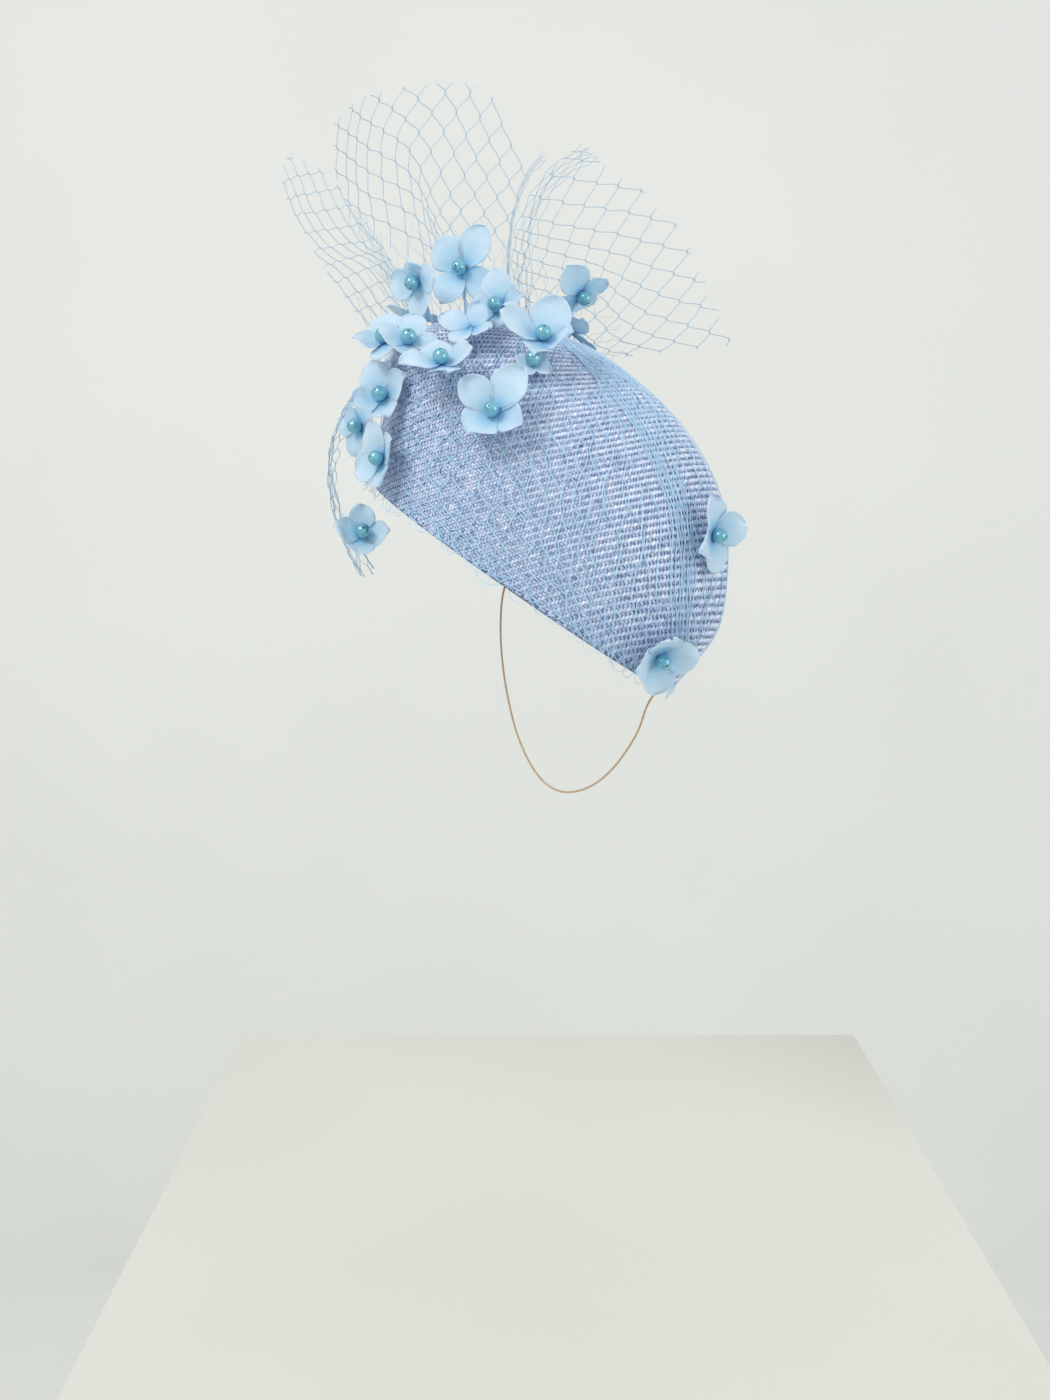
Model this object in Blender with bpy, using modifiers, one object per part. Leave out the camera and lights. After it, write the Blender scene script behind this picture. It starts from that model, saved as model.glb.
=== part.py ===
"""Woven straw percher hat with net fans, die-cut cloth blossoms and pearls.

Metres, +Z up, and the wearer faces -Y. The origin is the middle of the opening
that the head goes into. The hat is tilted about it as it is worn, low at the
wearer's left and back. The hat frame has its Z along the middle of the crown,
and its -X towards the raised front edge.
"""
import math

import bmesh
import bpy
import numpy as np
from mathutils import Matrix, Vector

# Crown
RIM_LENGTH = 0.194
RIM_WIDTH = 0.160
CROWN_DEPTH = 0.127
STRAW_WALL = 0.0018
CROWN_ROUNDNESS = 2.15
CROWN_COLUMNS = 40
HAT_TILT = math.radians(34.6)
HAT_TURN = math.radians(45.0)

# Blossoms and pearls
PEARL_DIAMETER = 0.008
PEARL_SEGMENTS = 10
PEARL_RINGS = 5
BLOSSOM_SPAN = 0.042
CLOTH_WALL = 0.001
HUB_RADIUS = 0.003
PETAL_BEND_LENGTH = 0.006
CALYX_LENGTH = 0.006
CALYX_RADIUS = 0.0017
STEM_RADIUS = 0.0011

# Net
NET_REACH = 0.120
NET_STRAND = 0.0012

# Elastic
ELASTIC_DROP = 0.124
ELASTIC_DIAMETER = 0.0012
ELASTIC_POINTS = 64

# Touching pieces keep this clearance. The strands between the feet of a net run
# straight, so its feet stand higher, to clear the round of the crown.
PIECE_GAP = 0.0003
NET_FOOT_RISE = 0.0010

# A strand or cord lies its half thickness off a face, times this for its corners
SEAT_ALLOWANCE = 1.5

# The crown's slope is taken over this many sections and degrees each way
SLOPE_RINGS = 0.05
SLOPE_DEGREES = 0.5

# Crown sections from the rim to the top. Height is a share of the depth, front
# and back are shares of half the rim's length, side is a share of half its width.
CROWN_SECTIONS = (
    # height, front, back, side
    (0.000, 1.000, 1.000, 1.000),
    (0.173, 1.113, 1.026, 1.038),
    (0.346, 1.227, 1.026, 1.038),
    (0.520, 1.340, 0.923, 1.000),
    (0.693, 1.227, 0.747, 0.875),
    (0.819, 1.062, 0.572, 0.713),
    (0.913, 0.794, 0.330, 0.513),
    (0.969, 0.588, 0.062, 0.300),
    (1.000, 0.330, -0.330, 0.000),
)

# One petal's outline: the angle off its axis as a share of a quarter turn, and
# the reach as a share of half the blossom's span. The first row is the slit.
PETAL_OUTLINE = (
    (-0.50, 0.26),
    (-0.43, 0.82),
    (-0.16, 1.00),
    (0.16, 1.00),
    (0.43, 0.82),
)
PETAL_RINGS = (0.0, 0.45, 1.0)

# Blossoms. On the crown a blossom is wired at (around, ring): degrees about the
# crown from its back, and crown sections up from the rim. On the side veil the
# place is (across, along). Stem is in multiples of the hub's radius, and span
# is a share. Face around and face up aim the blossom, roll turns it, and the
# lifts bend its four petals up, all in degrees.
BLOSSOMS = (
    # name, seat, place, stem, face around, face up, roll, span, lifts, pearl
    ("front", "crown", (249.5, 2.97), 2.3, -115, 8, -15, 0.96, (15, 20, 25, 35), True),
    ("front_left", "crown", (231.5, 3.10), 4.4, -136, 44, -25, 0.80, (20, 45, 25, 25), True),
    ("front_small", "crown", (224.5, 4.08), 2.9, -137, 30, 20, 0.70, (32, 52, 36, 14), False),
    ("top", "crown", (179, 4.80), 8.6, -112, -10, 0, 0.92, (-15, 8, 20, 30), True),
    ("top_left", "crown", (186.5, 4.00), 7.8, -120, -40, -55, 0.76, (20, 15, 30, 15), True),
    ("top_right", "crown", (218, 4.98), 3.7, -122, -5, -50, 0.80, (60, 30, 15, 35), True),
    ("big_right", "crown", (244, 4.84), 3.8, -111, 42, -65, 0.94, (35, 50, 40, 32), True),
    ("upper_right", "crown", (186, 6.95), 8.0, -32, -17, -15, 0.84, (0, 18, -15, -30), True),
    ("right", "crown", (152, 6.90), 2.0, 60, 80, -150, 0.75, (22, 20, 28, 20), True),
    ("under", "crown", (248, 4.36), 1.7, -115, 28, 10, 0.45, (5, 8, 5, 8), True),
    ("upper_left", "crown", (204, 2.98), 3.4, -139, 25, -35, 0.82, (20, 18, 18, 50), True),
    ("left_front", "crown", (216.5, 3.12), 4.2, -108, 33, -60, 0.70, (45, 30, 8, 40), True),
    ("shaded", "crown", (176, 3.66), 2.8, 150, 60, 45, 0.62, (20, 14, 24, 14), False),
    ("left_upper", "crown", (206.5, 2.07), 2.8, -122, 7, -30, 0.84, (30, 45, 25, 45), True),
    ("left", "crown", (188, 1.25), 3.8, -133, -22, 0, 0.82, (8, -15, 20, 0), True),
    ("left_lower", "crown", (211.5, 0.87), 2.4, -140, -18, -45, 0.88, (24, 29, 27, 17), True),
    ("low_left", "side_veil", (0.0, 0.89), 3.2, -92, 30, -60, 0.76, (35, 45, 24, 40), True),
    ("right_side", "crown", (318.5, 3.45), 2.3, -42, 23, -50, 0.94, (15, 40, 11, 30), True),
    ("low_right", "crown", (314.5, 0.68), 2.3, -59, -7, -55, 0.96, (18, 22, 45, 40), True),
)

# Net pieces, a row for each rib across the piece. The foot is sewn to the crown
# at (around, ring). Middle and tip are places from the foot in the hat frame,
# as shares of the net's reach.
NET_RIBS = {
    "net_fan_left": (
        # around, ring, middle, tip
        (152, 2.30, (-0.75, -0.03, 0.30), (-1.00, -0.06, 0.44)),
        (152, 2.75, (-0.66, -0.01, 0.32), (-1.00, -0.01, 0.43)),
        (152, 3.20, (-0.62, 0.04, 0.32), (-1.01, 0.05, 0.41)),
        (152, 3.60, (-0.60, 0.07, 0.30), (-1.00, 0.10, 0.37)),
    ),
    "net_fan_middle": (
        (163, 3.60, (-0.53, -0.13, 0.22), (-0.79, -0.30, 0.51)),
        (162, 3.90, (-0.52, -0.04, 0.33), (-0.81, -0.17, 0.62)),
        (161, 4.30, (-0.45, 0.04, 0.42), (-0.72, -0.03, 0.76)),
        (159, 4.80, (-0.35, 0.07, 0.45), (-0.61, 0.06, 0.85)),
        (157, 5.20, (-0.27, 0.06, 0.48), (-0.35, 0.08, 0.80)),
        (155, 5.55, (-0.27, 0.02, 0.39), (-0.31, 0.04, 0.68)),
    ),
    "net_fan_right": (
        (150, 5.70, (-0.32, 0.08, 0.38), (-0.29, 0.09, 0.82)),
        (145, 5.90, (-0.26, 0.10, 0.48), (-0.20, 0.09, 0.81)),
        (138, 6.10, (-0.12, 0.09, 0.48), (-0.03, 0.05, 0.80)),
        (130, 6.30, (0.02, 0.06, 0.41), (0.16, -0.01, 0.71)),
        (121, 6.40, (0.16, 0.01, 0.34), (0.35, -0.09, 0.56)),
        (110, 6.40, (0.25, -0.06, 0.24), (0.49, -0.19, 0.42)),
    ),
    "side_veil": (
        (202, 2.75, (-0.02, 0.16, -0.49), (0.42, 0.06, -0.79)),
        (190, 2.70, (0.00, 0.17, -0.50), (0.41, 0.14, -0.85)),
        (176, 2.70, (0.00, 0.13, -0.51), (0.40, 0.13, -0.88)),
        (160, 2.60, (-0.05, 0.11, -0.47), (0.32, 0.09, -0.85)),
    ),
}

# Cells across and along each net piece, and whether they stand as diamonds
NET_CELLS = {
    "net_fan_left": (5, 5, False),
    "net_fan_middle": (5, 4, True),
    "net_fan_right": (6, 5, False),
    "side_veil": (3, 5, False),
}

# Where the elastic is sewn inside the rim: degrees around, crown sections up
ELASTIC_NEAR_END = (346, 0.30)
ELASTIC_FAR_END = (94, 0.30)

# The elastic's hanging route between its two ends, as worn. Right is a share of
# half the rim's length, back of half its width, and up of the elastic's drop.
ELASTIC_ROUTE = (
    # right, back, up
    (0.639, 0.438, -0.484),
    (0.536, 0.450, -0.645),
    (0.330, 0.500, -0.823),
    (0.082, 0.562, -0.952),
    (-0.155, 0.575, -1.000),
    (-0.361, 0.588, -0.944),
    (-0.526, 0.588, -0.782),
    (-0.619, 0.575, -0.565),
    (-0.660, 0.562, -0.347),
    (-0.660, 0.562, -0.153),
    (-0.629, 0.575, -0.024),
)

PARTS_NAME = "fascinator"

STRAW_BLUE = (0.33, 0.42, 0.68, 1.0)
CLOTH_BLUE = (0.42, 0.66, 0.90, 1.0)
PEARL_BLUE = (0.28, 0.62, 0.76, 1.0)
NET_BLUE = (0.55, 0.68, 0.84, 1.0)
ELASTIC_TAN = (0.55, 0.40, 0.24, 1.0)


def clear_scene():
    for item in list(bpy.data.objects):
        bpy.data.objects.remove(item)


def make_material(name, colour, roughness):
    material = bpy.data.materials.new(name)
    material.use_nodes = True
    shader = material.node_tree.nodes["Principled BSDF"]
    shader.inputs["Base Color"].default_value = colour
    shader.inputs["Roughness"].default_value = roughness
    material.diffuse_color = colour
    return material


def add_object(parts, name, data, material, parent=None):
    item = bpy.data.objects.new(name, data)
    item.data.materials.append(material)
    item.parent = parent
    parts.objects.link(item)
    return item


def smooth_rows(rows, place):
    """A row between the rows of a table, by a curve through all of them."""
    last = len(rows) - 1
    index = min(max(int(math.floor(place)), 0), last - 1)
    share = place - index
    here, after = rows[index], rows[index + 1]
    before = rows[index - 1] if index > 0 else 2 * here - after
    beyond = rows[index + 2] if index + 2 <= last else 2 * after - here
    slope_in = (after - before) / 2
    slope_out = (beyond - here) / 2
    square, cube = share**2, share**3
    return (
        (2 * cube - 3 * square + 1) * here
        + (cube - 2 * square + share) * slope_in
        + (3 * square - 2 * cube) * after
        + (cube - square) * slope_out
    )


def crown_point(around, ring):
    """A place on the crown's outer face, in the hat frame."""
    height, front, back, side = smooth_rows(np.array(CROWN_SECTIONS), ring)
    angle = math.radians(around)
    power = 2 / CROWN_ROUNDNESS
    along = math.copysign(abs(math.cos(angle)) ** power, math.cos(angle))
    across = math.copysign(abs(math.sin(angle)) ** power, math.sin(angle))
    return Vector((
        RIM_LENGTH / 2 * ((back - front) / 2 + (back + front) / 2 * along),
        RIM_WIDTH / 2 * side * across,
        CROWN_DEPTH * height,
    ))


def crown_facet(around, ring):
    """The same place on the crown's flat facets, where other pieces meet it."""
    step = 360 / CROWN_COLUMNS
    column, row = math.floor(around / step), math.floor(ring)
    low, high = (
        crown_point(column * step, end).lerp(
            crown_point((column + 1) * step, end), around / step - column
        )
        for end in (row, row + 1)
    )
    return low.lerp(high, ring - row)


def crown_normal(around, ring):
    before, after = around - SLOPE_DEGREES, around + SLOPE_DEGREES
    low = max(ring - SLOPE_RINGS, 0.0)
    high = min(ring + SLOPE_RINGS, len(CROWN_SECTIONS) - 1 - SLOPE_RINGS)
    round_way = crown_point(after, ring) - crown_point(before, ring)
    up_way = crown_point(around, high) - crown_point(around, low)
    return round_way.cross(up_way).normalized()


def bridge(mesh, lower, upper):
    """Quads between two closed rings of vertices with the same count."""
    for index, vertex in enumerate(lower):
        after = (index + 1) % len(lower)
        mesh.faces.new((vertex, lower[after], upper[after], upper[index]))


def finish_mesh(mesh, name, smooth_angle=40):
    bmesh.ops.recalc_face_normals(mesh, faces=mesh.faces)
    data = bpy.data.meshes.new(name)
    mesh.to_mesh(data)
    mesh.free()
    data.shade_smooth()
    data.set_sharp_from_angle(angle=math.radians(smooth_angle))
    return data


def make_crown(parts, frame, material):
    """An open lofted dome, thickened inwards so that its hollow stays open."""
    mesh = bmesh.new()
    step = 360 / CROWN_COLUMNS
    rings = [
        [mesh.verts.new(crown_point(column * step, ring)) for column in range(CROWN_COLUMNS)]
        for ring in range(len(CROWN_SECTIONS) - 1)
    ]
    for lower, upper in zip(rings, rings[1:]):
        bridge(mesh, lower, upper)
    apex = mesh.verts.new(crown_point(0, len(CROWN_SECTIONS) - 1))
    for index, vertex in enumerate(rings[-1]):
        mesh.faces.new((vertex, rings[-1][(index + 1) % CROWN_COLUMNS], apex))
    data = bpy.data.meshes.new("crown")
    mesh.to_mesh(data)
    mesh.free()
    data.shade_smooth()
    crown = add_object(parts, "crown", data, material, frame)
    wall = crown.modifiers.new("straw wall", "SOLIDIFY")
    wall.thickness = STRAW_WALL
    wall.offset = -1.0
    wall.use_even_offset = True
    return crown


def aim(face_around, face_up, roll):
    """Axes of a blossom whose Z looks out of its face, in the hat frame."""
    turn, rise = math.radians(face_around), math.radians(face_up)
    face = Vector((
        math.cos(rise) * math.cos(turn),
        math.cos(rise) * math.sin(turn),
        math.sin(rise),
    ))
    right = Vector((-math.sin(turn), math.cos(turn), 0.0))
    upright = face.cross(right)
    spin = math.radians(roll)
    first = math.cos(spin) * right + math.sin(spin) * upright
    second = face.cross(first)
    return Matrix((first, second, face)).transposed()


def bend_petal(distance, lift):
    """Reach, rise and slope of a petal bent up along its length from the hub."""
    run = distance - HUB_RADIUS
    angle = math.radians(lift)
    if run <= 0 or abs(angle) < 1e-3:
        return distance, 0.0, 0.0
    radius = PETAL_BEND_LENGTH / angle
    slope = min(run, PETAL_BEND_LENGTH) / radius
    straight = max(run - PETAL_BEND_LENGTH, 0.0)
    reach = HUB_RADIUS + radius * math.sin(slope) + straight * math.cos(slope)
    rise = radius * (1 - math.cos(slope)) + straight * math.sin(slope)
    return reach, rise, slope


def petal_place(petal, offset, radius, lifts):
    """A vertex of a petal and the way out of its upper face, about the hub."""
    axis = petal * math.pi / 2
    angle = offset * math.pi / 2
    lift = lifts[petal]
    if offset == PETAL_OUTLINE[0][0]:
        lift = (lifts[petal] + lifts[petal - 1]) / 2
    reach, rise, slope = bend_petal(radius * math.cos(angle), lift)
    side = radius * math.sin(angle)
    forward = Vector((math.cos(axis), math.sin(axis), 0.0))
    sideways = Vector((-math.sin(axis), math.cos(axis), 0.0))
    place = forward * reach + sideways * side + Vector((0.0, 0.0, rise))
    normal = Vector((0.0, 0.0, math.cos(slope))) - forward * math.sin(slope)
    return place, normal


def petal_angles():
    """The turn of each vertex round a blossom, petal by petal."""
    return [
        (petal + offset) * math.pi / 2
        for petal in range(4)
        for offset, _ in PETAL_OUTLINE
    ]


def ring_about(mesh, centre, axis, radius):
    """A round ring of vertices in step with the petals' own."""
    guide = Vector((1.0, 0.0, 0.0))
    first = (guide - axis * guide.dot(axis)).normalized()
    second = axis.cross(first)
    return [
        mesh.verts.new(centre + radius * (math.cos(turn) * first + math.sin(turn) * second))
        for turn in petal_angles()
    ]


def blossom_seat(row, axes):
    """Where a blossom is sewn, the way its stem leaves, and its centre."""
    seat, (first, second), stem = row[1:4]
    if seat == "crown":
        out = crown_normal(first, second)
        foot = crown_facet(first, second)
        centre = crown_point(first, second) + out * stem * HUB_RADIUS
        return foot, out, centre
    out = axes.col[2].copy()
    foot = strand_point(seat, first, second) + out * NET_STRAND / 2
    return foot, out, foot + out * stem * HUB_RADIUS


def make_blossom(parts, frame, material, row):
    name, _, _, stem, face_around, face_up, roll, span, lifts, _ = row
    axes = aim(face_around, face_up, roll)
    to_local = axes.transposed()
    seat, out, centre = blossom_seat(row, axes)
    foot = to_local @ (seat + out * PIECE_GAP - centre)
    half_span = BLOSSOM_SPAN * span / 2
    mesh = bmesh.new()
    upper, under = [], []
    for share in PETAL_RINGS:
        top_ring, under_ring = [], []
        for petal in range(4):
            for offset, reach in PETAL_OUTLINE:
                radius = HUB_RADIUS + (reach * half_span - HUB_RADIUS) * share
                place, normal = petal_place(petal, offset, radius, lifts)
                top_ring.append(mesh.verts.new(place))
                under_ring.append(mesh.verts.new(place - normal * CLOTH_WALL))
        upper.append(top_ring)
        under.insert(0, under_ring)
    middle = mesh.verts.new((0.0, 0.0, 0.0))
    for index, vertex in enumerate(upper[0]):
        mesh.faces.new((vertex, upper[0][(index + 1) % len(upper[0])], middle))
    face = Vector((0.0, 0.0, 1.0))
    calyx_drop = min(CALYX_LENGTH, stem * HUB_RADIUS / 2)
    calyx = ring_about(mesh, -face * calyx_drop, face, CALYX_RADIUS)
    end = ring_about(mesh, foot, to_local @ out, STEM_RADIUS)
    rings = [*upper, *under, calyx, end]
    for inner, outer in zip(rings, rings[1:]):
        bridge(mesh, inner, outer)
    mesh.faces.new(end)
    blossom = add_object(
        parts, "blossom_" + name, finish_mesh(mesh, "blossom_" + name), material, frame
    )
    blossom.matrix_local = Matrix.Translation(centre) @ axes.to_4x4()
    return blossom


def make_pearl(parts, frame, material, row):
    name, _, _, _, face_around, face_up, roll, _, _, _ = row
    axes = aim(face_around, face_up, roll)
    radius = PEARL_DIAMETER / 2
    mesh = bmesh.new()
    bmesh.ops.create_uvsphere(
        mesh, u_segments=PEARL_SEGMENTS, v_segments=PEARL_RINGS, radius=radius
    )
    pearl = add_object(
        parts, "pearl_" + name, finish_mesh(mesh, "pearl_" + name, 60), material, frame
    )
    _, _, centre = blossom_seat(row, axes)
    bead = centre + axes.col[2] * (radius + PIECE_GAP)
    pearl.matrix_local = Matrix.Translation(bead) @ axes.to_4x4()
    return pearl


def net_point(ribs, across, along):
    """A place on a net piece's sheet: across its ribs, and from foot to tip."""
    rows = np.array([
        (around, ring, *middle, *tip) for around, ring, middle, tip in ribs
    ])
    row = smooth_rows(rows, across * (len(ribs) - 1))
    seat = NET_STRAND / 2 * SEAT_ALLOWANCE + NET_FOOT_RISE
    foot = crown_facet(row[0], row[1]) + crown_normal(row[0], row[1]) * seat
    middle = Vector(row[2:5]) * NET_REACH
    tip = Vector(row[5:8]) * NET_REACH
    return foot + middle * 4 * along * (1 - along) + tip * along * (2 * along - 1)


def strand_point(name, across, along):
    """A place on a net piece's edge strand, which runs straight from knot to knot."""
    rows = NET_CELLS[name][1]
    below = min(math.floor(along * rows), rows - 1)
    knots = [net_point(NET_RIBS[name], across, (below + step) / rows) for step in (0, 1)]
    return knots[0].lerp(knots[1], along * rows - below)


def net_faces(columns, rows, diamonds):
    """Corner lists of the net's cells, in half steps of the grid."""
    if not diamonds:
        return [
            ((2 * i, 2 * j), (2 * i + 2, 2 * j), (2 * i + 2, 2 * j + 2), (2 * i, 2 * j + 2))
            for i in range(columns)
            for j in range(rows)
        ]
    cells = []
    for i in range(2 * columns + 1):
        for j in range(2 * rows):
            if (i + j) % 2:
                corners = ((i, j - 1), (i + 1, j), (i, j + 1), (i - 1, j))
                cells.append([
                    (x, y) for x, y in corners
                    if 0 <= x <= 2 * columns and 0 <= y <= 2 * rows
                ])
    return cells


def make_net(parts, frame, material, name):
    """A sheet of cells, cut through to strands."""
    columns, rows, diamonds = NET_CELLS[name]
    mesh = bmesh.new()
    corners = {}
    for cell in net_faces(columns, rows, diamonds):
        for i, j in cell:
            if (i, j) not in corners:
                place = net_point(NET_RIBS[name], i / (2 * columns), j / (2 * rows))
                corners[i, j] = mesh.verts.new(place)
        mesh.faces.new([corners[key] for key in cell])
    data = bpy.data.meshes.new(name)
    mesh.to_mesh(data)
    mesh.free()
    net = add_object(parts, name, data, material, frame)
    strands = net.modifiers.new("strands", "WIREFRAME")
    strands.thickness = NET_STRAND
    strands.use_boundary = True
    strands.use_even_offset = False
    strands.use_replace = True
    return net


def make_elastic(parts, frame, material):
    """The round hat elastic, from the low rim down and round to the far side."""
    turn = frame.matrix_basis
    inset = STRAW_WALL + PIECE_GAP + ELASTIC_DIAMETER / 2 * SEAT_ALLOWANCE

    def sewn(around, ring):
        return turn @ (crown_point(around, ring) - crown_normal(around, ring) * inset)

    hanging = np.array(ELASTIC_ROUTE) * (RIM_LENGTH / 2, RIM_WIDTH / 2, ELASTIC_DROP)
    route = np.array([sewn(*ELASTIC_NEAR_END), *hanging, sewn(*ELASTIC_FAR_END)])
    curve = bpy.data.curves.new("hat_elastic", "CURVE")
    curve.dimensions = "3D"
    curve.bevel_depth = ELASTIC_DIAMETER / 2
    curve.bevel_resolution = 2
    curve.use_fill_caps = True
    line = curve.splines.new("POLY")
    line.points.add(ELASTIC_POINTS - 1)
    for index, point in enumerate(line.points):
        place = smooth_rows(route, index / (ELASTIC_POINTS - 1) * (len(route) - 1))
        point.co = (*place, 1.0)
    return add_object(parts, "hat_elastic", curve, material)


def main():
    clear_scene()
    parts = bpy.data.collections.new(PARTS_NAME)
    bpy.context.scene.collection.children.link(parts)
    frame = bpy.data.objects.new("hat_frame", None)
    frame.rotation_euler = (0.0, HAT_TILT, HAT_TURN)
    parts.objects.link(frame)
    bpy.context.view_layer.update()
    straw = make_material("woven straw", STRAW_BLUE, 0.75)
    cloth = make_material("blossom cloth", CLOTH_BLUE, 0.7)
    pearl = make_material("pearl", PEARL_BLUE, 0.2)
    net = make_material("net", NET_BLUE, 0.6)
    elastic = make_material("elastic", ELASTIC_TAN, 0.8)
    make_crown(parts, frame, straw)
    for row in BLOSSOMS:
        make_blossom(parts, frame, cloth, row)
        if row[-1]:
            make_pearl(parts, frame, pearl, row)
    for name in NET_RIBS:
        make_net(parts, frame, net, name)
    make_elastic(parts, frame, elastic)
    bpy.context.view_layer.update()


main()
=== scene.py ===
"""Looks of the woven straw fascinator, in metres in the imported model's frame.

The tables repeat the part's own. The hat frame has its Z along the middle of the
crown, and pixels are places in the photograph, which is 1050 wide and 1400 high.
"""
import math
import random

import bpy
import numpy as np
from mathutils import Euler, Matrix, Vector, noise
from mathutils.bvhtree import BVHTree


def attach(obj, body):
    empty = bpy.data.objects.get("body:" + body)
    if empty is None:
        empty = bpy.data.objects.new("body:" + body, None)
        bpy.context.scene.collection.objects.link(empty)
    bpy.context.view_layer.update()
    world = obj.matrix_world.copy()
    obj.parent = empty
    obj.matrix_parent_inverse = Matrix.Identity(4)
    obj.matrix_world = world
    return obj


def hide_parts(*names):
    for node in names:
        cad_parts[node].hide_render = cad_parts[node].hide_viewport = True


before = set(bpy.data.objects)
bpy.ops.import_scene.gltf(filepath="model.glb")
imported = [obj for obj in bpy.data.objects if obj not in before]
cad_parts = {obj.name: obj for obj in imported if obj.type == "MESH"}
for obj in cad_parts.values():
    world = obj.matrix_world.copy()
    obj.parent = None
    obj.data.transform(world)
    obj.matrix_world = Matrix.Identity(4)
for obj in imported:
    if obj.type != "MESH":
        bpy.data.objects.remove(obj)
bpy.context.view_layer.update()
random.seed(11)
noise.seed_set(11)

RIM_LENGTH = 0.194
RIM_WIDTH = 0.160
CROWN_DEPTH = 0.127
STRAW_WALL = 0.0018
CROWN_ROUNDNESS = 2.15
HAT_TILT = math.radians(34.6)
HAT_TURN = math.radians(45.0)
PEARL_DIAMETER = 0.008
BLOSSOM_SPAN = 0.042
HUB_RADIUS = 0.003
PETAL_BEND_LENGTH = 0.006
NET_REACH = 0.120
NET_STRAND = 0.0012
NET_FOOT_RISE = 0.0010
ELASTIC_DROP = 0.124
ELASTIC_DIAMETER = 0.0012
ELASTIC_POINTS = 64
PIECE_GAP = 0.0003

# height, front, back, side
CROWN_SECTIONS = np.array((
    (0.000, 1.000, 1.000, 1.000),
    (0.173, 1.113, 1.026, 1.038),
    (0.346, 1.227, 1.026, 1.038),
    (0.520, 1.340, 0.923, 1.000),
    (0.693, 1.227, 0.747, 0.875),
    (0.819, 1.062, 0.572, 0.713),
    (0.913, 0.794, 0.330, 0.513),
    (0.969, 0.588, 0.062, 0.300),
    (1.000, 0.330, -0.330, 0.000),
))

# name, seat, place, stem, face around, face up, roll, span, lifts, pearl
BLOSSOMS = (
    ("front", "crown", (249.5, 2.97), 2.3, -115, 8, -15, 0.96, (15, 20, 25, 35), True),
    ("front_left", "crown", (231.5, 3.10), 4.4, -136, 44, -25, 0.80, (20, 45, 25, 25), True),
    ("front_small", "crown", (224.5, 4.08), 2.9, -137, 30, 20, 0.70, (32, 52, 36, 14), False),
    ("top", "crown", (179, 4.80), 8.6, -112, -10, 0, 0.92, (-15, 8, 20, 30), True),
    ("top_left", "crown", (186.5, 4.00), 7.8, -120, -40, -55, 0.76, (20, 15, 30, 15), True),
    ("top_right", "crown", (218, 4.98), 3.7, -122, -5, -50, 0.80, (60, 30, 15, 35), True),
    ("big_right", "crown", (244, 4.84), 3.8, -111, 42, -65, 0.94, (35, 50, 40, 32), True),
    ("upper_right", "crown", (186, 6.95), 8.0, -32, -17, -15, 0.84, (0, 18, -15, -30), True),
    ("right", "crown", (152, 6.90), 2.0, 60, 80, -150, 0.75, (22, 20, 28, 20), True),
    ("under", "crown", (248, 4.36), 1.7, -115, 28, 10, 0.45, (5, 8, 5, 8), True),
    ("upper_left", "crown", (204, 2.98), 3.4, -139, 25, -35, 0.82, (20, 18, 18, 50), True),
    ("left_front", "crown", (216.5, 3.12), 4.2, -108, 33, -60, 0.70, (45, 30, 8, 40), True),
    ("shaded", "crown", (176, 3.66), 2.8, 150, 60, 45, 0.62, (20, 14, 24, 14), False),
    ("left_upper", "crown", (206.5, 2.07), 2.8, -122, 7, -30, 0.84, (30, 45, 25, 45), True),
    ("left", "crown", (188, 1.25), 3.8, -133, -22, 0, 0.82, (8, -15, 20, 0), True),
    ("left_lower", "crown", (211.5, 0.87), 2.4, -140, -18, -45, 0.88, (24, 29, 27, 17), True),
    ("low_left", "side_veil", (0.0, 0.89), 3.2, -92, 30, -60, 0.76, (35, 45, 24, 40), True),
    ("right_side", "crown", (318.5, 3.45), 2.3, -42, 23, -50, 0.94, (15, 40, 11, 30), True),
    ("low_right", "crown", (314.5, 0.68), 2.3, -59, -7, -55, 0.96, (18, 22, 45, 40), True),
)

# Length and half width of each petal as shares of the half span, in the order of
# the lifts, where a blossom's petals differ from one another
PETAL_SHAPES = {
    "front": ((0.82, 0.40), (1.26, 0.48), (1.12, 0.43), (0.82, 0.55)),
    "front_left": ((0.85, 0.45), (1.05, 0.48), (1.05, 0.48), (1.22, 0.52)),
    "front_small": ((0.85, 0.42), (1.05, 0.46), (1.25, 0.52), (0.95, 0.42)),
    "top": ((1.22, 0.46), (1.28, 0.54), (1.06, 0.54), (1.05, 0.48)),
    "top_left": ((1.20, 0.52), (1.00, 0.50), (0.72, 0.45), (1.10, 0.52)),
    "top_right": ((0.78, 0.42), (1.12, 0.48), (1.18, 0.50), (0.92, 0.44)),
    "big_right": ((0.78, 0.42), (0.90, 0.46), (1.24, 0.52), (1.26, 0.48)),
    "upper_right": ((0.82, 0.44), (0.90, 0.44), (1.24, 0.52), (1.16, 0.50)),
    "upper_left": ((0.90, 0.44), (1.05, 0.48), (1.12, 0.50), (0.96, 0.44)),
    "left_front": ((0.88, 0.44), (1.05, 0.48), (1.20, 0.50), (1.10, 0.46)),
    "shaded": ((1.20, 0.50), (1.20, 0.50), (1.15, 0.50), (1.20, 0.50)),
    "left_upper": ((0.95, 0.44), (1.10, 0.48), (1.14, 0.50), (1.00, 0.44)),
    "left_lower": ((0.95, 0.44), (1.05, 0.46), (1.15, 0.50), (1.10, 0.48)),
}
PETAL_SHAPE = (1.0, 0.47)
# Degrees that petals stand off the cross, in the same order
PETAL_TURNS = {
    "front": (24, 17, 4, 6),
    "top": (-10, 0, -12, 0),
}
PETAL_WIDEST = 0.62
PETAL_NECK = 0.30
PETAL_STEPS = 18
PETAL_SIDES = 16
PETAL_START = 0.05
PETAL_END = 0.997
PETAL_STACKING = 0.00025
CLOTH_THICKNESS = 0.0003

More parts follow.
